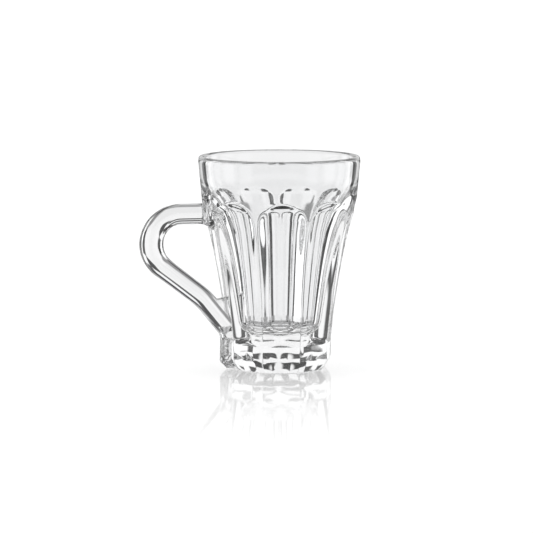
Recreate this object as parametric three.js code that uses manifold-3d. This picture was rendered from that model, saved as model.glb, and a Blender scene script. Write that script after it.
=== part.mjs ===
// Handled drinking glass: a thick pressed bowl with scooped flutes under a plain band, a many-sided foot
// and a bent rod handle. Millimetres, +Z up. The origin is the centre of the foot's flat underside, the
// bowl's axis is Z and the handle points along -X.
import * as THREE from 'three';
import { mergeVertices } from 'three/addons/utils/BufferGeometryUtils.js';
import Module from 'manifold-3d';

const wasm = await Module();
wasm.setup();

// Driving dimensions: the whole glass
const MUG_HEIGHT = 105;
const RIM_RADIUS = 40;
const FLUTE_COUNT = 9;
const JOINT_GAP = 0.3;

// Driving dimensions: the bowl's outside
const BAND_HEIGHT = 26.5;
const SHOULDER_RADIUS = 38;
const FLARE_BASE_SLOPE = 0.1;
const FLARE_SHOULDER_SLOPE = 0.3;
const FLARE_REACH = 20;
const LIP_HEIGHT = 1.8;
const LIP_LAND = 0.6;

// Driving dimensions: the bowl's inside
const RIM_WALL = 3.6;
const SHOULDER_WALL = 6.6;
const BASE_WALL = 9.3;
const FLOOR_THICKNESS = 3.5;
const FLOOR_CORNER = 5.5;
const BORE_BASE_SLOPE = 0.17;
const BORE_SHOULDER_SLOPE = 0.32;
const BORE_REACH = 20;

// Driving dimensions: the flutes
const SCOOP_RADIUS = 30;
const PIER_WIDTH = 1.4;
const ARCH_RISE = 4;
const COVE_SLOPE = 0.68;
const COVE_RADIUS = 30;

// Driving dimensions: the foot
const FOOT_RADIUS = 26.8;
const FOOT_HEIGHT = 13;
const FOOT_CHAMFER = 3.2;
const FOOT_SHELF = 0.3;
const LUG_PROUD = 4.8;

// Driving dimensions: the handle
const ROD_RADIUS = 5.1;
const HANDLE_DROP = 28;
const BOSS_PROUD = 2;
const BOSS_FILLET = 3.2;
const UPPER_ARM = 9.6;
const BEND_RADIUS = 14.6;
const LOWER_ARM_FALL = THREE.MathUtils.degToRad(38);
const LOWER_ARM = 22;
const TAIL_FALL = THREE.MathUtils.degToRad(51);
const TAIL_RADIUS = 30;
const HEEL_RADIUS = 9;

// How finely round shapes are divided
const SIDES_PER_FLUTE = 6;
const CURVE_STEPS = 8;
const SCOOP_STEPS = 6;
const FLUTE_STEPS = 16;
const FLUTE_EASE = 0.7;
const ROD_SIDES = 20;
const ROD_STEPS = 50;
const BOSS_SIDES = 28;

// Places that follow from the sizes above
const FLUTE_TURN = 2 * Math.PI / FLUTE_COUNT;
const FLUTE_HALF = FLUTE_TURN / 2;
const HANDLE_SIDE = Math.PI;
const SHOULDER_Z = MUG_HEIGHT - BAND_HEIGHT;
const ARCH_Z = SHOULDER_Z + ARCH_RISE;
const LIP_Z = MUG_HEIGHT - LIP_HEIGHT;
const LIP_RADIUS = RIM_RADIUS - RIM_WALL / 2;
const FLOOR_Z = FOOT_HEIGHT + FLOOR_THICKNESS;
const BORE_Z = FLOOR_Z + FLOOR_CORNER;
const BASE_RADIUS = FOOT_RADIUS - FOOT_SHELF;
const FOOT_FACET = FOOT_RADIUS * Math.cos(FLUTE_HALF);
const HANDLE_Z = MUG_HEIGHT - HANDLE_DROP;
const BOSS_FACE = SHOULDER_RADIUS + BOSS_PROUD;
const LUG_AXIS = FOOT_FACET + LUG_PROUD - ROD_RADIUS;

// Outline of the bowl's flare, from the foot's top to the shoulder
const flare = new THREE.CubicBezierCurve(
  new THREE.Vector2(BASE_RADIUS, FOOT_HEIGHT),
  new THREE.Vector2(BASE_RADIUS + FLARE_REACH * FLARE_BASE_SLOPE, FOOT_HEIGHT + FLARE_REACH),
  new THREE.Vector2(SHOULDER_RADIUS - FLARE_REACH * FLARE_SHOULDER_SLOPE, SHOULDER_Z - FLARE_REACH),
  new THREE.Vector2(SHOULDER_RADIUS, SHOULDER_Z),
);

// Outline of the bore, from the floor's round corner to the shoulder
const boreBase = BASE_RADIUS - BASE_WALL;
const boreShoulder = SHOULDER_RADIUS - SHOULDER_WALL;
const bore = new THREE.CubicBezierCurve(
  new THREE.Vector2(boreBase, BORE_Z),
  new THREE.Vector2(boreBase + BORE_REACH * BORE_BASE_SLOPE, BORE_Z + BORE_REACH),
  new THREE.Vector2(boreShoulder - BORE_REACH * BORE_SHOULDER_SLOPE, SHOULDER_Z - BORE_REACH),
  new THREE.Vector2(boreShoulder, SHOULDER_Z),
);

function solidFrom(geometry) {
  const bare = geometry.clone();
  bare.deleteAttribute('normal');
  bare.deleteAttribute('uv');
  const merged = mergeVertices(bare, 1e-4);
  return new wasm.Manifold(new wasm.Mesh({
    numProp: 3,
    vertProperties: new Float32Array(merged.attributes.position.array),
    triVerts: new Uint32Array(merged.index.array),
  }));
}

function geometryFrom(solid) {
  const mesh = solid.getMesh();
  const geometry = new THREE.BufferGeometry();
  geometry.setAttribute('position', new THREE.BufferAttribute(mesh.vertProperties, 3));
  geometry.setIndex(new THREE.BufferAttribute(mesh.triVerts, 1));
  geometry.computeVertexNormals();
  return geometry;
}

// A turned solid about Z with a corner on every pier between two flutes
function turned(outline, sides) {
  const start = HANDLE_SIDE + FLUTE_HALF + Math.PI / 2;
  const geometry = new THREE.LatheGeometry(outline, sides, start, 2 * Math.PI);
  geometry.rotateX(Math.PI / 2);
  return solidFrom(geometry);
}

// Radius of the plain band's straight line, carried on below the shoulder too
function bandRadius(z) {
  const slope = (RIM_RADIUS - SHOULDER_RADIUS) / (LIP_Z - SHOULDER_Z);
  return SHOULDER_RADIUS + (z - SHOULDER_Z) * slope;
}

// Radius of the piers between the flutes at a height
function pierRadius(z) {
  if (z >= SHOULDER_Z) {
    return bandRadius(z);
  }
  let low = 0;
  let high = 1;
  for (let pass = 0; pass < 40; pass += 1) {
    const middle = (low + high) / 2;
    if (flare.getPoint(middle).y < z) {
      low = middle;
    } else {
      high = middle;
    }
  }
  return flare.getPoint(low).x;
}

// Distance from the axis to the deepest line of a flute at a height
function fluteFloor(z) {
  const pier = pierRadius(z);
  const reach = FLUTE_HALF - PIER_WIDTH / 2 / pier;
  const halfChord = pier * Math.sin(reach);
  const scoop = pier * Math.cos(reach) + Math.sqrt(SCOOP_RADIUS ** 2 - halfChord ** 2) - SCOOP_RADIUS;
  const below = ARCH_Z - z;
  if (below > COVE_SLOPE * COVE_RADIUS) {
    return scoop;
  }
  const cove = bandRadius(z) - COVE_SLOPE * below + below ** 2 / (2 * COVE_RADIUS);
  return Math.max(scoop, cove);
}

// One flute as a cutting bar: a round-nosed section that follows the flute's floor line up the bowl
function fluteBar(turn, gap) {
  const spread = 1.6 * FLUTE_HALF;
  const section = new THREE.Shape();
  section.absarc(SCOOP_RADIUS, 0, SCOOP_RADIUS, Math.PI + spread, Math.PI - spread, true);
  section.lineTo(SCOOP_RADIUS, SCOOP_RADIUS * Math.sin(spread));
  section.lineTo(SCOOP_RADIUS, -SCOOP_RADIUS * Math.sin(spread));
  const bar = new THREE.ExtrudeGeometry(section, {
    depth: 1,
    steps: FLUTE_STEPS,
    curveSegments: SCOOP_STEPS,
    bevelEnabled: false,
  });
  const bottom = FOOT_HEIGHT - ROD_RADIUS;
  const top = ARCH_Z + ROD_RADIUS;
  const place = bar.attributes.position;
  for (let i = 0; i < place.count; i += 1) {
    const z = bottom + (top - bottom) * place.getZ(i) ** FLUTE_EASE;
    place.setXYZ(i, place.getX(i) + fluteFloor(Math.max(z, FOOT_HEIGHT)) + gap, place.getY(i), z);
  }
  bar.rotateZ(turn);
  return solidFrom(bar);
}

// The bowl before it is hollowed: fluted, grown by a gap all round
function bowlBlank(gap) {
  const outline = new THREE.Path();
  outline.moveTo(0, FOOT_HEIGHT);
  outline.lineTo(BASE_RADIUS, FOOT_HEIGHT);
  outline.curves.push(flare);
  outline.currentPoint.copy(flare.v3);
  outline.lineTo(RIM_RADIUS, LIP_Z);
  outline.quadraticCurveTo(RIM_RADIUS, MUG_HEIGHT, LIP_RADIUS + LIP_LAND / 2, MUG_HEIGHT);
  outline.lineTo(0, MUG_HEIGHT);
  const points = outline.getPoints(CURVE_STEPS);
  for (const point of points) {
    point.x += point.x > 0 ? gap : 0;
  }
  let blank = turned(points, FLUTE_COUNT * SIDES_PER_FLUTE);
  for (let flute = 0; flute < FLUTE_COUNT; flute += 1) {
    blank = blank.subtract(fluteBar(HANDLE_SIDE + flute * FLUTE_TURN, gap));
  }
  return blank;
}

// The space for the drink, open at the top
function boreSolid() {
  const above = MUG_HEIGHT + LIP_HEIGHT;
  const rim = RIM_RADIUS - RIM_WALL;
  const land = LIP_RADIUS - LIP_LAND / 2;
  const outline = new THREE.Path();
  outline.moveTo(0, FLOOR_Z);
  outline.quadraticCurveTo(boreBase - FLOOR_CORNER * BORE_BASE_SLOPE, FLOOR_Z, boreBase, BORE_Z);
  outline.curves.push(bore);
  outline.currentPoint.copy(bore.v3);
  outline.lineTo(rim, LIP_Z);
  outline.quadraticCurveTo(rim, MUG_HEIGHT, land, MUG_HEIGHT);
  outline.lineTo(land, above);
  outline.lineTo(0, above);
  return turned(outline.getPoints(CURVE_STEPS), FLUTE_COUNT * SIDES_PER_FLUTE);
}

// The flared boss on the bowl that the handle's upper end is set against
function bossSolid() {
  const root = BOSS_FACE - SHOULDER_WALL - BOSS_PROUD;
  const wide = ROD_RADIUS + BOSS_FILLET;
  const outline = new THREE.Path();
  outline.moveTo(0, root);
  outline.lineTo(wide, root);
  outline.lineTo(wide, BOSS_FACE - BOSS_FILLET);
  outline.quadraticCurveTo(ROD_RADIUS, BOSS_FACE - BOSS_FILLET, ROD_RADIUS, BOSS_FACE);
  outline.lineTo(0, BOSS_FACE);
  const geometry = new THREE.LatheGeometry(outline.getPoints(CURVE_STEPS / 2), BOSS_SIDES);
  geometry.rotateZ(Math.PI / 2);
  geometry.translate(0, 0, HANDLE_Z);
  return solidFrom(geometry);
}

// The many-sided foot with its chamfered underside and the lug for the handle's tail
function footSolid() {
  const block = turned([
    new THREE.Vector2(0, 0),
    new THREE.Vector2(FOOT_RADIUS - FOOT_CHAMFER, 0),
    new THREE.Vector2(FOOT_RADIUS, FOOT_CHAMFER),
    new THREE.Vector2(FOOT_RADIUS, FOOT_HEIGHT),
    new THREE.Vector2(0, FOOT_HEIGHT),
  ], FLUTE_COUNT);
  const lug = new THREE.LatheGeometry([
    new THREE.Vector2(0, 0),
    new THREE.Vector2(ROD_RADIUS - FOOT_CHAMFER, 0),
    new THREE.Vector2(ROD_RADIUS, FOOT_CHAMFER),
    new THREE.Vector2(ROD_RADIUS, FOOT_HEIGHT),
    new THREE.Vector2(0, FOOT_HEIGHT),
  ], ROD_SIDES);
  lug.rotateX(Math.PI / 2);
  lug.translate(-LUG_AXIS, 0, 0);
  return block.add(solidFrom(lug));
}

// The rod's middle line in the plane of the bowl's axis: out from the boss, round the bend, down the
// lower arm and the tail, and upright into the lug
class RodLine extends THREE.Curve {
  constructor() {
    super();
    const bendTurn = Math.PI - LOWER_ARM_FALL;
    const tailTurn = TAIL_FALL - LOWER_ARM_FALL;
    const heelTurn = Math.PI / 2 - TAIL_FALL;
    const bent = [
      { length: UPPER_ARM, turn: 0 },
      { length: BEND_RADIUS * bendTurn, turn: bendTurn },
      { length: LOWER_ARM, turn: 0 },
      { length: TAIL_RADIUS * tailTurn, turn: -tailTurn },
    ];
    const tailStart = this.walk(bent, Infinity);
    const heelReach = HEEL_RADIUS * (1 - Math.sin(TAIL_FALL));
    const tail = (-LUG_AXIS - heelReach - tailStart.x) / Math.cos(TAIL_FALL);
    const heel = { length: HEEL_RADIUS * heelTurn, turn: -heelTurn };
    const upright = { length: FOOT_HEIGHT, turn: 0 };
    this.legs = [...bent, { length: tail, turn: 0 }, heel, upright];
    this.total = this.legs.reduce((sum, leg) => sum + leg.length, 0);
  }

  // The place reached after a distance along some legs
  walk(legs, distance) {
    let left = distance;
    let heading = Math.PI;
    let x = -BOSS_FACE;
    let z = HANDLE_Z;
    for (const leg of legs) {
      const run = Math.min(left, leg.length);
      if (leg.turn === 0) {
        x += run * Math.cos(heading);
        z += run * Math.sin(heading);
      } else {
        const radius = leg.length / leg.turn;
        const next = heading + run / radius;
        x += radius * (Math.sin(next) - Math.sin(heading));
        z += radius * (Math.cos(heading) - Math.cos(next));
        heading = next;
      }
      left -= run;
    }
    return new THREE.Vector3(x, 0, z);
  }

  getPoint(share) {
    return this.walk(this.legs, share * this.total);
  }
}

// The handle: the bent rod, cut off at the foot's top and fitted round the bowl
function handleSolid() {
  const section = new THREE.Shape();
  section.absarc(0, 0, ROD_RADIUS, 0, 2 * Math.PI, false);
  const rod = solidFrom(new THREE.ExtrudeGeometry(section, {
    steps: ROD_STEPS,
    curveSegments: ROD_SIDES / 2,
    extrudePath: new RodLine(),
    bevelEnabled: false,
  }));
  const reach = 2 * BOSS_FACE;
  const floor = new THREE.BoxGeometry(reach * 2, reach, reach);
  floor.translate(0, 0, FOOT_HEIGHT - reach / 2);
  return rod.subtract(solidFrom(floor)).subtract(bowlBlank(JOINT_GAP));
}

function glassPiece(name, solid) {
  const material = new THREE.MeshStandardMaterial({
    color: 0xf1f6f5,
    roughness: 0.04,
    metalness: 0,
    transparent: true,
    opacity: 0.35,
  });
  const piece = new THREE.Mesh(geometryFrom(solid), material);
  piece.name = name;
  return piece;
}

const mug = new THREE.Group();
mug.name = 'glass_mug';
mug.add(glassPiece('bowl', bowlBlank(0).add(bossSolid()).subtract(boreSolid())));
mug.add(glassPiece('foot', footSolid()));
mug.add(glassPiece('handle', handleSolid()));

export default mug;
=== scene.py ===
import math

import bmesh
import bpy
from bpy.props import FloatProperty, FloatVectorProperty, IntProperty, PointerProperty
from mathutils import Matrix, Vector


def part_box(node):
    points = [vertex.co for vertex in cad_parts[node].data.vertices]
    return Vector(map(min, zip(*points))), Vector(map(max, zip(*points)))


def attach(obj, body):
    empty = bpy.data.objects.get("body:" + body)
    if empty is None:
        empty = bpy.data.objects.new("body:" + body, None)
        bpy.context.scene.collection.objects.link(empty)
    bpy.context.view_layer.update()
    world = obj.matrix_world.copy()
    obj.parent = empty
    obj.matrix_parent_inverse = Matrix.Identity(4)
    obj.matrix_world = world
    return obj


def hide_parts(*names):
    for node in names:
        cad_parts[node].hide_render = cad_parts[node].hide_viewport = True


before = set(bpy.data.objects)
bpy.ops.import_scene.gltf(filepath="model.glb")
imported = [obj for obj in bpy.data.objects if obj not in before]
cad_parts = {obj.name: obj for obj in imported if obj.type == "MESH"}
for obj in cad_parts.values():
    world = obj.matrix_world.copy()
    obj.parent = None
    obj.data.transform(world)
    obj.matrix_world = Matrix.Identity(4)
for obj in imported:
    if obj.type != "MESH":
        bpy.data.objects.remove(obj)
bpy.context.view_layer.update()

bl_info = {
    "name": "Fluted glass mug",
    "version": (1, 0, 0),
    "blender": (4, 5, 0),
    "location": "View3D > Sidebar > Glass mug",
    "description": "Presses a fluted glass bowl and foot, bends a glass rod handle and fuses them",
    "category": "Object",
}

BOWL_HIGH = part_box("bowl")[1]
FOOT_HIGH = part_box("foot")[1]
HANDLE_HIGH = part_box("handle")[1]

# How much further from the axis the upper joint lies than the near side of the handle's tail.
UPPER_JOINT_STEP = 0.0155

# Rows of points up the outside and down the inside, and steps round one flute.
UNDERSIDE_ROWS = 5
FOOT_EDGE_ROWS = 14
FACET_ROWS = 8
LEDGE_ROWS = 12
FLUTE_ROWS = 26
ARCH_ROWS = 46
BAND_ROWS = 9
LIP_ROWS = 16
BORE_ROWS = 48
FLOOR_ROWS = 24
FLUTE_STEPS = 40

# Zones of the outside whose rows lie closer together, measured from the foot's top and the shoulder.
FACET_GAP = 0.0006
LEDGE_ZONE = 0.0045
ARCH_ZONE_BELOW = 0.0105
ARCH_ZONE_ABOVE = 0.003

# The share by which steps crowd towards the ridges, and the distance under which points are one.
RIDGE_CROWDING = 0.5
MERGE_DISTANCE = 1e-6

# The round floor is squarer than a circle, whose power is 2.
FLOOR_POWER = 2.8

# The level between top and bottom of the foot's bulges, and the height in which ridges turn to arches.
BULGE_LEVEL = 0.6
ARCH_FADE = 0.014

# Sides of the rod, steps for each radian of a bend, step along a straight and room left under its foot.
ROD_SIDES = 40
BEND_STEPS = 22
ROD_STEP = 0.0012
ROD_LIFT = 0.0002

# The web of glass over the tail: (x, z) corners, and the rounding of its edges as a share of its width.
WEB_CORNERS = ((-0.0360, 0.0340), (-0.0222, 0.0364), (-0.0222, 0.0200), (-0.0300, 0.0200))
WEB_ROUNDING = 0.32

# The blocks that part the glass: (x, z) points of the joints' line under the upper arm, and their extents.
ARM_JOINT_FOOT = 0.066
TAIL_JOINT = ((-0.033, 0.045), (-0.0262, 0.033))
LUG_JOINT = -0.0246
BLOCK_TOP = 0.09
BLOCK_BOTTOM = -0.01
HANDLE_BLOCK_HALF_WIDTH = 0.0075

# Faces that meet at more than this angle keep a sharp edge.
SHARP_ANGLE = math.radians(40)

# The table top: half its width, its drop under the mug and its shine close to the mug.
TABLE_HALF_WIDTH = 3.0
TABLE_DROP = 0.0003
TABLE_ROUGHNESS = 0.05
TABLE_SHINE = 0.5

# Colours of the stage, and the glow of the wall.
WHITE = (1.0, 1.0, 1.0, 1.0)
CARD_BLACK = (0.004, 0.004, 0.004, 1.0)
BLACK = (0.0, 0.0, 0.0, 1.0)
WALL_GLOW = 0.95
WALL_SIDES = 64


def length(name, description, default):
    """A property that holds a size in metres."""
    return FloatProperty(name=name, description=description, default=default, unit="LENGTH", precision=5)


def angle(name, description, degrees):
    """A property that holds an angle, given here in degrees."""
    return FloatProperty(name=name, description=description, default=math.radians(degrees), subtype="ANGLE")


def plain(name, description, default):
    """A property that holds a plain number."""
    return FloatProperty(name=name, description=description, default=default, precision=4)


class MugBowlSizes(bpy.types.PropertyGroup):
    """Sizes of the bowl's outside and inside."""

    height: length("Height", "Height of the rim above the table", BOWL_HIGH.z)
    rim_radius: length("Rim radius", "Outer radius of the rim", BOWL_HIGH.x)
    rim_wall: length("Rim wall", "Thickness of the wall at the rim", 0.0036)
    lip_height: length("Lip height", "Height of the rounded lip", 0.0018)
    band_height: length("Band height", "Height of the plain band under the rim", 0.0292)
    shoulder_radius: length("Shoulder radius", "Outer radius where the band meets the flare", 0.0375)
    shoulder_wall: length("Shoulder wall", "Thickness of the wall at the shoulder", 0.0074)
    base_radius: length("Base radius", "Outer radius where the flare meets the foot", 0.0265)
    base_wall: length("Base wall", "Thickness of the wall above the round floor", 0.0092)
    flare_reach: length("Flare reach", "How far each end of the flare keeps its slope", 0.020)
    flare_base_slope: plain("Flare base slope", "Outward slope of the flare at the foot", 0.10)
    flare_shoulder_slope: plain("Flare shoulder slope", "Outward slope of the flare at the shoulder", 0.30)
    bore_base_slope: plain("Bore base slope", "Outward slope of the bore at the floor", 0.18)
    bore_shoulder_slope: plain("Bore shoulder slope", "Outward slope of the bore at the shoulder", 0.42)
    neck_softness: length("Neck softness", "Rounding of the bore where the band thickens", 0.0025)
    floor_thickness: length("Floor thickness", "Glass between the foot and the drink", 0.0035)
    floor_corner: length("Floor corner", "Height of the round floor", 0.0080)


class MugFluteSizes(bpy.types.PropertyGroup):
    """Sizes of the scooped flutes and the faceted foot under them."""

    count: IntProperty(name="Flutes", description="Number of flutes round the bowl", default=9, min=3)
    scoop_radius: length("Scoop radius", "Radius of the hollow of a flute", 0.024)
    pier_width: length("Pier width", "Width of the ridge between two flutes", 0.0024)
    arch_rise: length("Arch rise", "Height of an arch's top above the shoulder", 0.0085)
    cove_slope: plain("Cove slope", "Inward slope just under an arch", 1.00)
    cove_radius: length("Cove radius", "Radius of the cove that leads into a flute", 0.0095)
    cove_end_slope: plain("Cove end slope", "Inward slope where the cove runs out", 0.40)
    ledge_slope: plain("Ledge slope", "Inward slope of the ledge above a foot facet", 0.90)
    ridge_softness: length("Ridge softness", "Rounding of the ridges", 0.0018)
    arch_softness: length("Arch softness", "Rounding of the arches", 0.0010)
    corner_softness: length("Corner softness", "Rounding of the foot's corners", 0.0012)
    ledge_softness: length("Ledge softness", "Rounding where a flute meets the ledge", 0.0009)
    edge_bulge: length("Edge bulge", "Height of the small bulges round the foot's lower edge", 0.00035)
    foot_radius: length("Foot radius", "Radius of the foot over its corners", FOOT_HIGH.x)
    foot_height: length("Foot height", "Height of the foot's facets", FOOT_HIGH.z)
    foot_chamfer: length("Foot chamfer", "Width of the rounded edge under the foot", 0.0034)
    foot_round: length("Foot round", "Height of the rounded edge under the foot", 0.0058)


class MugHandleSizes(bpy.types.PropertyGroup):
    """Sizes of the bent rod handle."""

    rod_radius: length("Rod radius", "Radius of the glass rod", HANDLE_HIGH.y)
    rod_height: length("Rod height", "Height of the upper arm's middle line", 0.077)
    joint_reach: length("Joint reach", "Distance from the axis to the upper joint",
                        -HANDLE_HIGH.x + UPPER_JOINT_STEP)
    root_reach: length("Root reach", "Distance from the axis to the rod's buried end", 0.0335)
    upper_arm: length("Upper arm", "Straight length of the upper arm", 0.0096)
    bend_radius: length("Bend radius", "Radius of the bend's middle line", 0.0146)
    lower_arm: length("Lower arm", "Straight length of the lower arm", 0.022)
    lower_arm_fall: angle("Lower arm fall", "Slope of the lower arm", 38)
    tail_radius: length("Tail radius", "Radius of the bend into the tail", 0.030)
    tail_fall: angle("Tail fall", "Slope of the tail", 51)
    heel_radius: length("Heel radius", "Radius of the bend at the foot", 0.009)
    lug_reach: length("Lug reach", "Distance from the axis to the upright end of the rod", 0.0249)
    bend_swell: plain("Bend swell", "Share by which the rod is wider in the bend", 0.16)
    joint_flare: length("Joint flare", "How much the rod widens at the bowl", 0.0032)
    web_width: length("Web width", "Width of the glass in the corner over the tail", 0.0070)


class MugStudioLook(bpy.types.PropertyGroup):
    """The glass, the table, the light and the camera."""

    glass_colour: FloatVectorProperty(
        name="Glass", description="Colour of the glass", subtype="COLOR", size=4,
        min=0, max=1, default=(0.984, 0.987, 0.991, 1.0))
    glass_index: plain("Glass index", "Refractive index of the glass", 1.52)
    floor_colour: FloatVectorProperty(
        name="Table", description="Colour of the table", subtype="COLOR", size=4,
        min=0, max=1, default=(0.92, 0.92, 0.92, 1.0))
    # The table's shine fades and its painted glow grows between these two distances, so they also bound the
    # painted shade round the mug.
    shine_and_painted_glow_near: length("Shine near", "Distance from the axis where the table's shine starts to fade", 0.030)
    shine_and_painted_glow_far: length("Shine far", "Distance from the axis where the table's shine is gone", 0.230)
    # Painted light: the table's glow, lower under the mug as a painted shade round it, higher far away.
    painted_glow_near: plain("Glow near", "Glow of the table under the mug", 0.40)
    painted_glow_far: plain("Glow far", "Glow of the table where its shine is gone", 0.75)
    flag_width: length("Flag width", "Width of the dark strip behind the mug", 0.18)
    flag_height: length("Flag height", "Height of the dark strip behind the mug", 0.012)
    flag_middle: length("Flag middle", "Height of the dark strip's middle above the table", 0.108)
    flag_distance: length("Flag distance", "Distance from the axis to the dark strip", 0.12)
    card_aside: length("Card aside", "Distance of a card from the view's middle line", 0.04)
    card_start: length("Card start", "Distance behind the axis where the cards start", 0.24)
    card_end: length("Card end", "Distance behind the axis where the cards end", 1.2)
    card_near: angle("Card near side", "Turn of a card's near side away from the view", 1)
    card_far: angle("Card far side", "Turn of a card's far side away from the view", 60)
    card_lift: length("Card lift", "Height of the cards over the table", 0.0005)
    wall_distance: length("Wall distance", "Distance from the axis to the white wall", 4.4)
    wall_height: length("Wall height", "Height of the white wall", 1.4)
    camera_azimuth: angle("Camera azimuth", "Turn of the camera round the mug", -12.2)
    camera_elevation: angle("Camera elevation", "Height of the camera above the horizon", 6.8)
    camera_distance: length("Camera distance", "Distance from the camera to the mug", 1.5)
    view_half_width: length("View half width", "Half the width of the view at the mug", 0.1319)
    view_height: length("View height", "Height of the point in the middle of the view", 0.0499)
    view_aside: length("View aside", "Distance of the middle of the view from the axis", -0.0063)


def soft_least(a, b, softness):
    """The smaller of two numbers, rounded where they cross."""
    share = min(max(0.5 + 0.5 * (b - a) / softness, 0.0), 1.0)
    return b + (a - b) * share - softness * share * (1.0 - share)


def soft_most(a, b, softness):
    """The larger of two numbers, rounded where they cross."""
    return -soft_least(-a, -b, softness)


def stretch(start, end, count):
    """Evenly spaced numbers from start up to end, without end."""
    return [start + (end - start) * step / count for step in range(count)]


def curve_radius(height, low, high, low_slope, high_slope, reach):
    """Radius at a height on the smooth curve between two (radius, height) points with given slopes."""
    near_low = (low[0] + reach * low_slope, low[1] + reach)
    near_high = (high[0] - reach * high_slope, high[1] - reach)

    def blend(axis, t):
        s = 1.0 - t
        corner = (low[axis], near_low[axis], near_high[axis], high[axis])
        return s ** 3 * corner[0] + 3 * s * s * t * corner[1] + 3 * s * t * t * corner[2] + t ** 3 * corner[3]

    first, last = 0.0, 1.0
    for _ in range(30):
        middle = (first + last) / 2
        if blend(1, middle) < height:
            first = middle
        else:
            last = middle
    return blend(0, first)


def new_object(name, mesh):
    """A new object in the scene for a mesh."""
    made = bpy.data.objects.new(name, mesh)
    bpy.context.scene.collection.objects.link(made)
    return made


def mesh_object(name, bm):
    """Turns a bmesh into an object."""
    mesh = bpy.data.meshes.new(name)
    bm.to_mesh(mesh)
    bm.free()
    return new_object(name, mesh)


def shoulder_height(bowl):
    """Height where the plain band meets the flare."""
    return bowl.height - bowl.band_height


def band_radius(bowl, height):
    """Outer radius of the plain band's line at a height."""
    shoulder = shoulder_height(bowl)
    top = bowl.height - bowl.lip_height
    spread = bowl.rim_radius - bowl.shoulder_radius
    return bowl.shoulder_radius + spread * (height - shoulder) / (top - shoulder)


def outside_radius(bowl, flute, height):
    """Outer radius over the ridges at a height above the foot."""
    shoulder = shoulder_height(bowl)
    if height >= shoulder:
        return band_radius(bowl, height)
    return curve_radius(height, (bowl.base_radius, flute.foot_height), (bowl.shoulder_radius, shoulder),
                        bowl.flare_base_slope, bowl.flare_shoulder_slope, bowl.flare_reach)


def bore_radius(bowl, flute, height):
    """Radius of the bore at a height above its round corner."""
    shoulder = shoulder_height(bowl)
    cone = bowl.shoulder_radius - bowl.shoulder_wall
    if height >= shoulder:
        cone += bowl.bore_shoulder_slope * (height - shoulder)
    else:
        corner = flute.foot_height + bowl.floor_thickness + bowl.floor_corner
        cone = curve_radius(height, (bowl.base_radius - bowl.base_wall, corner), (cone, shoulder),
                            bowl.bore_base_slope, bowl.bore_shoulder_slope, bowl.flare_reach)
    return soft_least(band_radius(bowl, height) - bowl.rim_wall, cone, bowl.neck_softness)


def outside_outline(bowl, flute):
    """(radius, height) points of the outside, from the middle of the underside up to the lip."""
    edge = flute.foot_radius - flute.foot_chamfer
    points = [(edge * share, 0.0) for share in stretch(0.0, 1.0, UNDERSIDE_ROWS)]
    for share in stretch(0.0, 1.0, FOOT_EDGE_ROWS):
        left = (1.0 - share) * (2.0 - share) / 2
        points.append((flute.foot_radius - flute.foot_chamfer * left, flute.foot_round * share))
    facet_top = flute.foot_height - FACET_GAP
    points += [(flute.foot_radius, z) for z in stretch(flute.foot_round, facet_top, FACET_ROWS)]
    shoulder = shoulder_height(bowl)
    ledge_top = flute.foot_height + LEDGE_ZONE
    arch_low = shoulder - ARCH_ZONE_BELOW
    arch_high = shoulder + flute.arch_rise + ARCH_ZONE_ABOVE
    heights = stretch(flute.foot_height, ledge_top, LEDGE_ROWS)
    heights += stretch(ledge_top, arch_low, FLUTE_ROWS)
    heights += stretch(arch_low, arch_high, ARCH_ROWS)
    heights += stretch(arch_high, bowl.height - bowl.lip_height, BAND_ROWS)
    points += [(outside_radius(bowl, flute, z), z) for z in heights]
    return points


def inside_outline(bowl, flute):
    """(radius, height) points of the lip, the bore and the floor, down to the middle."""
    lip_middle = bowl.rim_radius - bowl.rim_wall / 2
    lip_base = bowl.height - bowl.lip_height
    points = []
    for turn in stretch(0.0, math.pi, LIP_ROWS):
        radius = lip_middle + bowl.rim_wall / 2 * math.cos(turn)
        points.append((radius, lip_base + bowl.lip_height * math.sin(turn)))
    floor = flute.foot_height + bowl.floor_thickness
    corner = floor + bowl.floor_corner
    points += [(bore_radius(bowl, flute, z), z) for z in stretch(lip_base, corner, BORE_ROWS)]
    wall = bowl.base_radius - bowl.base_wall
    for turn in stretch(0.0, math.pi / 2, FLOOR_ROWS):
        fall = math.sin(turn)
        spread = wall - bowl.bore_base_slope * bowl.floor_corner * fall
        points.append((spread * math.sqrt(1.0 - fall ** FLOOR_POWER), corner - bowl.floor_corner * fall))
    points.append((0.0, floor))
    return points


def flute_floor(bowl, flute, ridge, height):
    """Distance from the axis to the deepest line of a flute."""
    half_turn = math.pi / flute.count - flute.pier_width / 2 / ridge
    half_chord = ridge * math.sin(half_turn)
    scoop_drop = math.sqrt(flute.scoop_radius ** 2 - half_chord ** 2)
    scoop = ridge * math.cos(half_turn) + scoop_drop - flute.scoop_radius
    below = shoulder_height(bowl) + flute.arch_rise - height
    bent = min(below, (flute.cove_slope - flute.cove_end_slope) * flute.cove_radius)
    depth = flute.cove_slope * bent - bent ** 2 / (2 * flute.cove_radius)
    depth += flute.cove_end_slope * (below - bent)
    return soft_most(scoop, band_radius(bowl, height) - depth, 2 * flute.arch_softness)


def foot_side(flute, ridge, aside, height):
    """Radius of the foot: flat facets over a sloping lower edge with small bulges."""
    facet = flute.foot_radius * math.cos(math.pi / flute.count) / math.cos(aside)
    radius = soft_least(flute.foot_radius, facet, flute.corner_softness) - flute.foot_radius + ridge
    share = min(height / flute.foot_round, 1.0)
    bulge = abs(math.cos(flute.count * aside)) - BULGE_LEVEL
    return radius + flute.edge_bulge * bulge * math.sin(math.pi * share)


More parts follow.
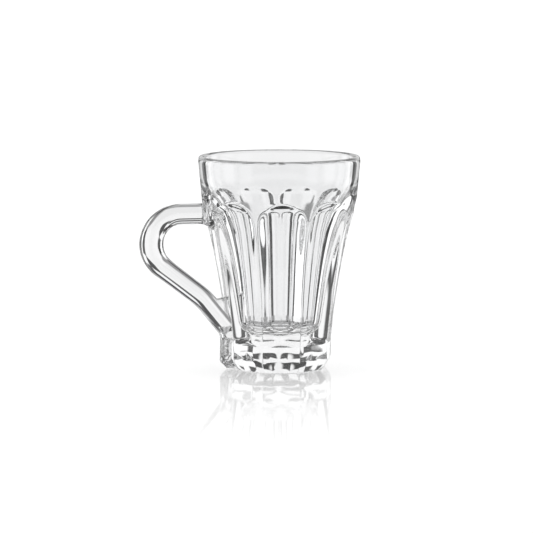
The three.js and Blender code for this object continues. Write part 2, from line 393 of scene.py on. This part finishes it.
def pressed_radius(bowl, flute, ridge, floor, aside, height):
    """Radius of the pressed outside, aside being the turn away from the nearest flute's middle."""
    if height < flute.foot_height:
        return foot_side(flute, ridge, aside, height)
    centre = floor + flute.scoop_radius
    under_root = flute.scoop_radius ** 2 - (centre * math.sin(aside)) ** 2
    if under_root < 0.0:
        return ridge
    scoop = centre * math.cos(aside) - math.sqrt(under_root)
    facet = flute.foot_radius * math.cos(math.pi / flute.count)
    ledge = (facet - flute.ledge_slope * (height - flute.foot_height)) / math.cos(aside)
    scoop = soft_most(scoop, ledge, flute.ledge_softness)
    rise = min(max(1.0 + (height - bowl.height + bowl.band_height) / ARCH_FADE, 0.0), 1.0)
    softness = flute.ridge_softness + (flute.arch_softness - flute.ridge_softness) * rise
    return soft_least(ridge, scoop, softness)


def press_flute(bm, outside, bowl, flute):
    """Presses one flute and one facet into the outside of a turned sector round the X axis."""
    half_turn = math.pi / flute.count
    floors = {}
    for vert in bm.verts:
        ridge = math.hypot(vert.co.x, vert.co.y)
        if ridge < MERGE_DISTANCE:
            continue
        share = math.atan2(vert.co.y, vert.co.x) / half_turn
        aside = (share + RIDGE_CROWDING * math.sin(math.pi * share) / math.pi) * half_turn
        radius = ridge
        if vert[outside]:
            ring = round(vert.co.z, 6)
            if ring not in floors:
                floors[ring] = flute_floor(bowl, flute, ridge, vert.co.z)
            radius = pressed_radius(bowl, flute, ridge, floors[ring], aside, vert.co.z)
        vert.co.x = radius * math.cos(aside)
        vert.co.y = radius * math.sin(aside)


def turned_blank(bowl, flute):
    """The bowl and foot as one closed pressed shape."""
    bm = bmesh.new()
    outside = bm.verts.layers.int.new("outside")
    outer = outside_outline(bowl, flute)
    verts = []
    for radius, height in outer + inside_outline(bowl, flute):
        vert = bm.verts.new((radius, 0.0, height))
        vert[outside] = len(verts) < len(outer)
        verts.append(vert)
    edges = [bm.edges.new(pair) for pair in zip(verts, verts[1:])]
    sector = 2 * math.pi / flute.count
    bmesh.ops.rotate(bm, verts=verts, cent=(0, 0, 0), matrix=Matrix.Rotation(-sector / 2, 3, "Z"))
    bmesh.ops.spin(bm, geom=verts + edges, cent=(0, 0, 0), axis=(0, 0, 1), angle=sector, steps=FLUTE_STEPS)
    press_flute(bm, outside, bowl, flute)
    bmesh.ops.rotate(bm, verts=bm.verts, cent=(0, 0, 0), matrix=Matrix.Rotation(math.pi, 3, "Z"))
    bmesh.ops.spin(bm, geom=bm.verts[:] + bm.edges[:] + bm.faces[:], cent=(0, 0, 0), axis=(0, 0, 1),
                   angle=2 * math.pi - sector, steps=flute.count - 1, use_duplicate=True)
    bmesh.ops.remove_doubles(bm, verts=bm.verts, dist=MERGE_DISTANCE)
    bmesh.ops.recalc_face_normals(bm, faces=bm.faces)
    return mesh_object("pressed_blank", bm)


def rod_legs(handle):
    """(length, turn) of each leg of the rod's middle line, from its buried end to the table."""
    bend = math.pi - handle.lower_arm_fall
    tail_turn = handle.tail_fall - handle.lower_arm_fall
    heel_turn = math.pi / 2 - handle.tail_fall
    legs = [
        (handle.joint_reach - handle.root_reach, 0.0),
        (handle.upper_arm, 0.0),
        (handle.bend_radius * bend, bend),
        (handle.lower_arm, 0.0),
        (handle.tail_radius * tail_turn, -tail_turn),
    ]
    place, _ = walk(handle, legs)
    heel_reach = handle.heel_radius * (1 - math.sin(handle.tail_fall))
    legs.append(((-handle.lug_reach - heel_reach - place.x) / math.cos(handle.tail_fall), 0.0))
    legs.append((handle.heel_radius * heel_turn, -heel_turn))
    place, _ = walk(handle, legs)
    legs.append((place.z - ROD_LIFT, 0.0))
    return legs


def walk(handle, legs):
    """The place and the heading at the end of some legs."""
    heading = math.pi
    place = Vector((-handle.root_reach, 0.0, handle.rod_height))
    for run, turn in legs:
        if turn:
            radius = run / turn
            place.x += radius * (math.sin(heading + turn) - math.sin(heading))
            place.z += radius * (math.cos(heading) - math.cos(heading + turn))
            heading += turn
        else:
            place.x += run * math.cos(heading)
            place.z += run * math.sin(heading)
    return place, heading


def bent_rod(handle, flute):
    """The handle's rod, with both ends running into the bowl and the foot."""
    bm = bmesh.new()
    start = Matrix.Translation((-handle.root_reach, 0.0, handle.rod_height))
    start = start @ Matrix.Rotation(math.pi / 2, 4, "Y")
    ring = bmesh.ops.create_circle(bm, cap_ends=False, segments=ROD_SIDES, radius=handle.rod_radius,
                                   matrix=start)["verts"]
    ends = {edge for vert in ring for edge in vert.link_edges}
    geom = list(ring) + list(ends)
    done = []
    bend_middle = None
    for run, turn in rod_legs(handle):
        place, heading = walk(handle, done)
        along = Vector((math.cos(heading), 0.0, math.sin(heading)))
        if turn:
            radius = run / turn
            middle = place + Vector((-math.sin(heading), 0.0, math.cos(heading))) * radius
            bend_middle = bend_middle or middle
            made = bmesh.ops.spin(bm, geom=geom, cent=middle, axis=(0, -1, 0), angle=turn,
                                  steps=max(6, round(abs(turn) * BEND_STEPS)))
        else:
            steps = max(2, round(run / ROD_STEP))
            made = bmesh.ops.spin(bm, geom=geom, cent=place, axis=(0, 1, 0), angle=0.0,
                                  dvec=along * (run / steps), steps=steps)
        geom = made["geom_last"]
        done.append((run, turn))
    bmesh.ops.holes_fill(bm, edges=[edge for edge in bm.edges if edge.is_boundary], sides=0)
    shape_rod(bm, handle, flute, bend_middle)
    bmesh.ops.recalc_face_normals(bm, faces=bm.faces)
    return mesh_object("bent_rod", bm)


def shape_rod(bm, handle, flute, bend_middle):
    """Swells the rod's bend, flares its upper end and slants its foot."""
    for vert in bm.verts:
        reach = -vert.co.x
        if reach < handle.joint_reach and vert.co.z > bend_middle.z:
            depth = (handle.joint_reach - reach) / (handle.joint_reach - handle.root_reach)
            grow = 1 + handle.joint_flare / handle.rod_radius * depth ** 2
            vert.co.y *= grow
            vert.co.z = handle.rod_height + (vert.co.z - handle.rod_height) * grow
        elif vert.co.z < flute.foot_chamfer:
            shrink = 1 - (flute.foot_chamfer - vert.co.z) / handle.rod_radius
            vert.co.x = -handle.lug_reach + (vert.co.x + handle.lug_reach) * shrink
            vert.co.y *= shrink
        else:
            out = Vector((vert.co.x - bend_middle.x, 0.0, vert.co.z - bend_middle.z))
            facing = max(0.0, -out.x / out.length)
            swell = 1 + handle.bend_swell * facing ** 2
            if out.length < 2 * handle.bend_radius and out.x < 0:
                offset = out.length - handle.bend_radius
                out *= (handle.bend_radius + offset * swell) / out.length
                vert.co.x = bend_middle.x + out.x
                vert.co.z = bend_middle.z + out.z


def block_mesh(corners, half_width):
    """A block: an outline in the handle's plane, made as wide as asked."""
    bm = bmesh.new()
    face = bm.faces.new([bm.verts.new((x, -half_width, z)) for x, z in corners])
    made = bmesh.ops.extrude_face_region(bm, geom=[face])
    moved = [item for item in made["geom"] if isinstance(item, bmesh.types.BMVert)]
    bmesh.ops.translate(bm, verts=moved, vec=(0, 2 * half_width, 0))
    bmesh.ops.recalc_face_normals(bm, faces=bm.faces)
    return bm


def tail_web(handle):
    """The glass that fills the corner between the handle's tail and the bowl."""
    bm = block_mesh(WEB_CORNERS, handle.web_width / 2)
    bmesh.ops.bevel(bm, geom=bm.edges[:], offset=handle.web_width * WEB_ROUNDING, segments=6, profile=0.5,
                    affect="EDGES", material=-1)
    return mesh_object("tail_web", bm)


def cut_mesh(name, base, tool, operation):
    """A new object: base joined with, kept inside or cut away by tool."""
    step = base.modifiers.new("glass cut", "BOOLEAN")
    step.operation = operation
    step.object = tool
    step.solver = "MANIFOLD"
    step.material_mode = "TRANSFER"
    graph = bpy.context.evaluated_depsgraph_get()
    mesh = bpy.data.meshes.new_from_object(base.evaluated_get(graph))
    base.modifiers.remove(step)
    if not mesh.polygons:
        raise RuntimeError(f"{name} came out empty")
    mesh.name = name
    return new_object(name, mesh)


def joint_block(name, corners, half_width, material):
    """A block that marks where a joint lies."""
    block = mesh_object(name, block_mesh(corners, half_width))
    block.data.materials.append(material)
    return block


def discard(*objects):
    """Removes working objects and their meshes."""
    for item in objects:
        mesh = item.data
        bpy.data.objects.remove(item)
        bpy.data.meshes.remove(mesh)


def finish_piece(piece, node):
    """Smooth glass surfaces, a body to ride on and the solid that the piece stands for."""
    piece.data.polygons.foreach_set("use_smooth", [True] * len(piece.data.polygons))
    piece.data.set_sharp_from_angle(angle=SHARP_ANGLE)
    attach(piece, "root")
    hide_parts(node)


def shaded_material(name, values):
    """A material with its shader's sockets set to fixed values."""
    material = bpy.data.materials.new(name)
    material.use_nodes = True
    shader = material.node_tree.nodes["Principled BSDF"]
    for socket, value in values.items():
        shader.inputs[socket].default_value = value
    return material


def clear_glass(look):
    """Clear pressed glass with the faint waves that a mould leaves."""
    material = shaded_material("pressed_glass", {
        "Base Color": look.glass_colour,
        "Roughness": 0.0,
        "IOR": look.glass_index,
        "Transmission Weight": 1.0,
    })
    nodes = material.node_tree.nodes
    links = material.node_tree.links
    place = nodes.new("ShaderNodeTexCoord")
    waves = nodes.new("ShaderNodeTexNoise")
    waves.inputs["Scale"].default_value = 70.0
    waves.inputs["Detail"].default_value = 1.0
    bump = nodes.new("ShaderNodeBump")
    bump.inputs["Strength"].default_value = 0.01
    bump.inputs["Distance"].default_value = 0.001
    links.new(place.outputs["Object"], waves.inputs["Vector"])
    links.new(waves.outputs["Fac"], bump.inputs["Height"])
    links.new(bump.outputs["Normal"], nodes["Principled BSDF"].inputs["Normal"])
    return material


def fused_joint():
    """The face inside the glass where two pieces were joined hot, which light passes unbent."""
    material = bpy.data.materials.new("fused_joint")
    material.use_nodes = True
    nodes = material.node_tree.nodes
    nodes.remove(nodes["Principled BSDF"])
    clear = nodes.new("ShaderNodeBsdfTransparent")
    material.node_tree.links.new(clear.outputs["BSDF"], nodes["Material Output"].inputs["Surface"])
    return material


class MUG_OT_press_body(bpy.types.Operator):
    """Press the fluted bowl and the faceted foot as one blank"""

    bl_idname = "mug.press_body"
    bl_label = "Press bowl and foot"

    def execute(self, context):
        scene = context.scene
        blank = turned_blank(scene.mug_bowl, scene.mug_flutes)
        blank.data.materials.append(clear_glass(scene.mug_look))
        return {"FINISHED"}


class MUG_OT_bend_handle(bpy.types.Operator):
    """Bend the handle from a glass rod"""

    bl_idname = "mug.bend_handle"
    bl_label = "Bend handle"

    def execute(self, context):
        scene = context.scene
        rod = bent_rod(scene.mug_handle, scene.mug_flutes)
        web = tail_web(scene.mug_handle)
        for glass in (rod, web):
            glass.data.materials.append(bpy.data.materials["pressed_glass"])
        cut_mesh("hot_handle", rod, web, "UNION")
        discard(rod, web)
        return {"FINISHED"}


class MUG_OT_fuse_glass(bpy.types.Operator):
    """Fuse the rod to the blank, then part the glass into bowl, foot and handle at the joints"""

    bl_idname = "mug.fuse_glass"
    bl_label = "Fuse glass"

    def execute(self, context):
        scene = context.scene
        flute = scene.mug_flutes
        handle = scene.mug_handle
        blank = bpy.data.objects["pressed_blank"]
        rod = bpy.data.objects["hot_handle"]
        fused = cut_mesh("fused_glass", blank, rod, "UNION")
        joint = fused_joint()
        split = flute.foot_height
        reach = handle.joint_reach
        far = 2 * reach
        handle_corners = [
            (-reach, BLOCK_TOP), (-reach, ARM_JOINT_FOOT), *TAIL_JOINT, (LUG_JOINT, split),
            (-far, split), (-far, BLOCK_TOP),
        ]
        foot_corners = [(-far, BLOCK_BOTTOM), (far, BLOCK_BOTTOM), (far, split), (-far, split)]
        handle_block = joint_block("handle_block", handle_corners, HANDLE_BLOCK_HALF_WIDTH, joint)
        foot_block = joint_block("foot_block", foot_corners, far, joint)
        piece = cut_mesh("glass_handle", fused, handle_block, "INTERSECT")
        finish_piece(piece, "handle")
        rest = cut_mesh("glass_rest", fused, handle_block, "DIFFERENCE")
        finish_piece(cut_mesh("glass_foot", rest, foot_block, "INTERSECT"), "foot")
        finish_piece(cut_mesh("glass_bowl", rest, foot_block, "DIFFERENCE"), "bowl")
        discard(blank, rod, fused, rest, handle_block, foot_block)
        return {"FINISHED"}


def grey_ramp(tree, angle, low, high, stops):
    """Turns an angle socket, from low up to high degrees, into grey by (degrees, grey) stops."""
    share = tree.nodes.new("ShaderNodeMapRange")
    share.inputs["From Min"].default_value = math.radians(low)
    share.inputs["From Max"].default_value = math.radians(high)
    ramp = tree.nodes.new("ShaderNodeValToRGB")
    places = ramp.color_ramp.elements
    while len(places) < len(stops):
        places.new(0.5)
    for place, (degrees, grey) in zip(places, stops):
        place.position = (degrees - low) / (high - low)
        place.color = (grey, grey, grey, 1.0)
    tree.links.new(angle, share.inputs["Value"])
    tree.links.new(share.outputs["Result"], ramp.inputs["Fac"])
    return ramp.outputs["Color"]


def panel_row(tree, aside, rise, panels, heights):
    """One row of studio panels: grey by the angle aside, times grey by the angle up."""
    lit = tree.nodes.new("ShaderNodeVectorMath")
    lit.operation = "MULTIPLY"
    tree.links.new(grey_ramp(tree, aside, 0, 180, panels), lit.inputs[0])
    tree.links.new(grey_ramp(tree, rise, -90, 90, heights), lit.inputs[1])
    return lit.outputs["Vector"]


# The studio's rows of panels. A row's panels and gaps are (degrees aside from the view, brightness) stops,
# the same on both sides, and the heights that it fills are (degrees above the horizon, brightness) stops.
SIDE_PANELS = (
    (64, 0.04), (72, 0.04), (76, 0.9), (104, 0.9), (107, 0.04), (113, 0.04), (116, 0.55), (134, 0.55),
    (137, 0.04),
)
MAIN_PANELS = (
    (0, 0.93), (14, 1.0), (23, 1.0), (25, 0.09), (39, 0.09), (42, 1.2), (60, 1.25), *SIDE_PANELS,
)
MAIN_HEIGHTS = (
    (-62, 1.0), (-58, 0.4), (-38, 0.4), (-36, 0.0), (-11, 0.0), (-9, 1.0), (1, 1.0), (2, 0.0), (11, 0.0),
    (12, 1.0), (20, 1.0), (22, 0.1), (28, 0.1), (31, 1.0), (36, 1.0), (40, 0.25), (52, 0.25), (58, 1.1),
)
UPPER_PANELS = (
    (0, 0.95), (8, 0.95), (10, 0.06), (26, 0.06), (29, 1.1), (60, 1.2), *SIDE_PANELS,
)
UPPER_HEIGHTS = ((-90, 0.0), (1, 0.0), (2, 1.0), (11, 1.0), (12, 0.0))
LOWER_PANELS = (
    (0, 0.90), (7, 0.90), (11, 1.0), (24, 0.98), (27, 0.04), (38, 0.04), (41, 1.5), (60, 1.5), *SIDE_PANELS,
)
LOWER_HEIGHTS = ((-20, 0.0), (-18, 1.0), (-11, 1.0), (-9, 0.0))
LOWEST_PANELS = (
    (0, 0.9), (16, 0.9), (20, 0.3), (34, 0.3), (38, 1.2), (62, 1.2), (66, 0.04), (110, 0.04), (114, 0.6),
)
LOWEST_HEIGHTS = ((-38, 0.0), (-36, 1.0), (-20, 1.0), (-18, 0.0))
PANEL_ROWS = (
    (MAIN_PANELS, MAIN_HEIGHTS),
    (UPPER_PANELS, UPPER_HEIGHTS),
    (LOWER_PANELS, LOWER_HEIGHTS),
    (LOWEST_PANELS, LOWEST_HEIGHTS),
)


def studio_world(look):
    """Rows of soft white studio panels with dark gaps between them, white to the camera."""
    world = bpy.data.worlds.new("studio")
    bpy.context.scene.world = world
    world.use_nodes = True
    tree = world.node_tree
    tree.nodes.clear()
    place = tree.nodes.new("ShaderNodeTexCoord")
    turn = tree.nodes.new("ShaderNodeMapping")
    turn.inputs["Rotation"].default_value = (0.0, 0.0, -look.camera_azimuth)
    split = tree.nodes.new("ShaderNodeSeparateXYZ")
    round_turn = tree.nodes.new("ShaderNodeMath")
    round_turn.operation = "ARCTAN2"
    aside = tree.nodes.new("ShaderNodeMath")
    aside.operation = "ABSOLUTE"
    rise = tree.nodes.new("ShaderNodeMath")
    rise.operation = "ARCSINE"
    tree.links.new(place.outputs["Generated"], turn.inputs["Vector"])
    tree.links.new(turn.outputs["Vector"], split.inputs["Vector"])
    tree.links.new(split.outputs["X"], round_turn.inputs[0])
    tree.links.new(split.outputs["Y"], round_turn.inputs[1])
    tree.links.new(round_turn.outputs[0], aside.inputs[0])
    tree.links.new(split.outputs["Z"], rise.inputs[0])
    seen = tree.nodes.new("ShaderNodeLightPath")
    light = seen.outputs["Is Camera Ray"]
    for panels, heights in PANEL_ROWS:
        more = tree.nodes.new("ShaderNodeVectorMath")
        more.operation = "ADD"
        tree.links.new(light, more.inputs[0])
        tree.links.new(panel_row(tree, aside.outputs[0], rise.outputs[0], panels, heights), more.inputs[1])
        light = more.outputs["Vector"]
    glow = tree.nodes.new("ShaderNodeBackground")
    out = tree.nodes.new("ShaderNodeOutputWorld")
    tree.links.new(light, glow.inputs["Color"])
    tree.links.new(glow.outputs["Background"], out.inputs["Surface"])


def hide_from(item, *rays):
    """Hides a piece of the stage from some kinds of rays."""
    for kind in rays:
        setattr(item, f"visible_{kind}", False)


def turn_to_view(bm, look):
    """Turns a piece of the stage from straight behind the mug to behind it in the camera's view."""
    turn = Matrix.Rotation(look.camera_azimuth, 3, "Z")
    bmesh.ops.rotate(bm, verts=bm.verts, cent=(0, 0, 0), matrix=turn)


def studio_floor(look):
    """A white table top whose shine fades away from the mug, while its glow grows: the glow is painted light
    that keeps the table white, weaker near the mug as a painted shade round it.
    """
    bm = bmesh.new()
    bmesh.ops.create_grid(bm, x_segments=1, y_segments=1, size=TABLE_HALF_WIDTH)
    bmesh.ops.translate(bm, verts=bm.verts, vec=(0, 0, -TABLE_DROP))
    table = mesh_object("table_top", bm)
    # The table's white emission is painted light, dimmer near the mug as a painted shade round it.
    material = shaded_material("white_table_painted_glow", {
        "Base Color": look.floor_colour,
        "Roughness": TABLE_ROUGHNESS,
        "Emission Color": WHITE,
    })
    nodes = material.node_tree.nodes
    links = material.node_tree.links
    place = nodes.new("ShaderNodeTexCoord")
    away = nodes.new("ShaderNodeVectorMath")
    away.operation = "LENGTH"
    links.new(place.outputs["Object"], away.inputs[0])
    # The emission fade is painted light: a weaker glow near the mug paints a soft shade round it.
    fades = {"Specular IOR Level": (TABLE_SHINE, 0.0), "Emission Strength": (look.painted_glow_near, look.painted_glow_far)}
    for socket, (near, far) in fades.items():
        fade = nodes.new("ShaderNodeMapRange")
        fade.inputs["From Min"].default_value = look.shine_and_painted_glow_near
        fade.inputs["From Max"].default_value = look.shine_and_painted_glow_far
        fade.inputs["To Min"].default_value = near
        fade.inputs["To Max"].default_value = far
        links.new(away.outputs["Value"], fade.inputs["Value"])
        links.new(fade.outputs["Result"], nodes["Principled BSDF"].inputs[socket])
    table.data.materials.append(material)
    hide_from(table, "transmission")


def studio_flag(look, material):
    """A dark strip behind and above the mug, out of the camera's sight, that draws the arches' edges."""
    bm = bmesh.new()
    bmesh.ops.create_grid(bm, x_segments=1, y_segments=1, size=0.5)
    bmesh.ops.scale(bm, verts=bm.verts, vec=(look.flag_width, look.flag_height, 1.0))
    bmesh.ops.rotate(bm, verts=bm.verts, cent=(0, 0, 0), matrix=Matrix.Rotation(math.pi / 2, 3, "X"))
    bmesh.ops.translate(bm, verts=bm.verts, vec=(0, look.flag_distance, look.flag_middle))
    turn_to_view(bm, look)
    flag = mesh_object("studio_flag", bm)
    flag.data.materials.append(material)
    hide_from(flag, "camera", "diffuse", "shadow")


def studio_cards(look, material):
    """Two dark cards lying behind the mug, seen only in reflections, that darken the edges of the glass."""
    bm = bmesh.new()
    near = math.tan(look.card_near)
    far = math.tan(look.card_far)
    ends = ((look.card_start, near), (look.card_start, far), (look.card_end, far), (look.card_end, near))
    for side in (-1, 1):
        corners = []
        for away, slope in ends:
            aside = look.card_aside + away * slope
            corners.append(bm.verts.new((side * aside, away, look.card_lift)))
        bm.faces.new(corners)
    turn_to_view(bm, look)
    cards = mesh_object("studio_cards", bm)
    cards.data.materials.append(material)
    hide_from(cards, "camera", "diffuse", "transmission", "shadow")


def studio_wall(look):
    """A low white wall round the table, seen only in reflections, that keeps the table's shine pale."""
    bm = bmesh.new()
    bmesh.ops.create_cone(bm, cap_ends=False, segments=WALL_SIDES, radius1=look.wall_distance,
                          radius2=look.wall_distance, depth=look.wall_height)
    bmesh.ops.translate(bm, verts=bm.verts, vec=(0, 0, look.wall_height / 2))
    wall = mesh_object("studio_wall", bm)
    wall.data.materials.append(shaded_material("white_wall", {
        "Base Color": BLACK,
        "Emission Color": WHITE,
        "Emission Strength": WALL_GLOW,
    }))
    hide_from(wall, "camera", "diffuse", "transmission", "shadow")


def studio_camera(look):
    """The camera, at the photograph's angle."""
    camera = bpy.data.cameras.new("studio_camera")
    camera.lens = camera.sensor_width * look.camera_distance / (2 * look.view_half_width)
    eye = new_object("studio_camera", camera)
    turn = look.camera_azimuth
    rise = look.camera_elevation
    back = Vector((math.sin(turn) * math.cos(rise), -math.cos(turn) * math.cos(rise), math.sin(rise)))
    right = Vector((math.cos(turn), math.sin(turn), 0.0))
    eye.location = right * look.view_aside + Vector((0, 0, look.view_height)) + back * look.camera_distance
    eye.rotation_euler = back.to_track_quat("Z", "Y").to_euler()
    bpy.context.scene.camera = eye


class MUG_OT_set_stage(bpy.types.Operator):
    """Set the table, the light and the camera"""

    bl_idname = "mug.set_stage"
    bl_label = "Set stage"

    def execute(self, context):
        scene = context.scene
        look = scene.mug_look
        studio_world(look)
        studio_floor(look)
        black_card = shaded_material("black_card", {"Base Color": CARD_BLACK, "Roughness": 0.9})
        studio_flag(look, black_card)
        studio_cards(look, black_card)
        studio_wall(look)
        studio_camera(look)
        scene.view_settings.view_transform = "Standard"
        scene.cycles.use_denoising = True
        scene.cycles.denoising_input_passes = "RGB"
        scene.cycles.use_adaptive_sampling = False
        scene.cycles.max_bounces = 32
        scene.cycles.transmission_bounces = 32
        scene.cycles.glossy_bounces = 16
        scene.cycles.transparent_max_bounces = 32
        return {"FINISHED"}


class MUG_PT_panel(bpy.types.Panel):
    """Steps that make the mug, and its sizes"""

    bl_idname = "MUG_PT_panel"
    bl_label = "Glass mug"
    bl_space_type = "VIEW_3D"
    bl_region_type = "UI"
    bl_category = "Glass mug"

    def draw(self, context):
        for step in STEPS:
            self.layout.operator(step.bl_idname)
        for name in SETTINGS:
            box = self.layout.box()
            group = getattr(context.scene, name)
            for key in group.__annotations__:
                box.prop(group, key)


STEPS = (MUG_OT_press_body, MUG_OT_bend_handle, MUG_OT_fuse_glass, MUG_OT_set_stage)
SETTINGS = {
    "mug_bowl": MugBowlSizes,
    "mug_flutes": MugFluteSizes,
    "mug_handle": MugHandleSizes,
    "mug_look": MugStudioLook,
}


def register():
    for name, group in SETTINGS.items():
        bpy.utils.register_class(group)
        setattr(bpy.types.Scene, name, PointerProperty(type=group))
    for step in STEPS:
        bpy.utils.register_class(step)
    bpy.utils.register_class(MUG_PT_panel)


def unregister():
    bpy.utils.unregister_class(MUG_PT_panel)
    for step in reversed(STEPS):
        bpy.utils.unregister_class(step)
    for name, group in SETTINGS.items():
        delattr(bpy.types.Scene, name)
        bpy.utils.unregister_class(group)


def main():
    register()
    bpy.ops.mug.press_body()
    bpy.ops.mug.bend_handle()
    bpy.ops.mug.fuse_glass()
    bpy.ops.mug.set_stage()


if __name__ == "__main__":
    main()
